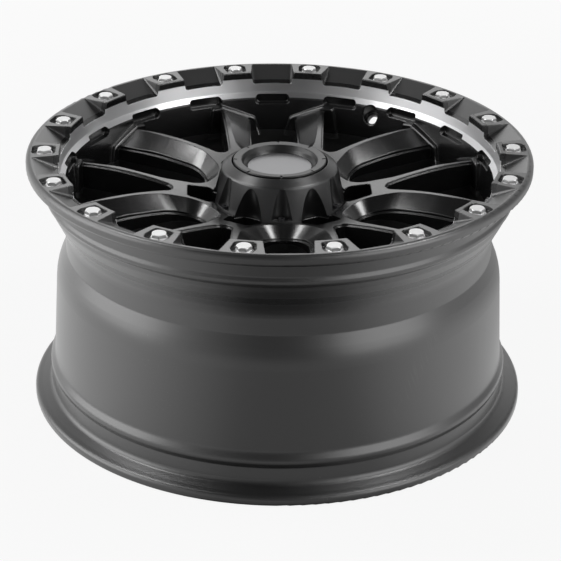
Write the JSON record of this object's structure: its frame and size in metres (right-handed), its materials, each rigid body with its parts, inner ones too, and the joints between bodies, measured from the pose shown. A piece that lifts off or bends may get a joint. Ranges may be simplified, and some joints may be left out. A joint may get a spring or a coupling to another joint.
{
  "type": "alloy wheel",
  "caption": "Cast alloy off-road wheel in satin black with forked spokes, a machined ring under a lugged lip set with flanged bolts, and a tall fluted centre cap.",
  "frame": {"origin": "centre of the hub mounting face, on the wheel axis", "axes": "+Z along the wheel axis towards the outboard face; +X through a spoke's centre line; the valve hole lies 60 degrees from +X towards +Y"},
  "size_m": [0.497, 0.497, 0.2583],
  "materials": {
    "painted_alloy": "satin black coating over cast aluminium, with one bright lathe-turned ring under the lip",
    "zinc_steel": "bright zinc plate",
    "cap_plastic": "satin black",
    "screw_steel": "dark plated",
    "insert_plastic": "satin black",
    "badge_metal": "plain grey satin, no marking"
  },
  "bodies": {
    "root": {"wheel_casting": "painted_alloy", "lip_bolts": "zinc_steel", "cap_body": "cap_plastic", "cap_screws": "screw_steel", "cap_insert": "insert_plastic", "badge_disc": "badge_metal"}
  },
  "joints": []
}
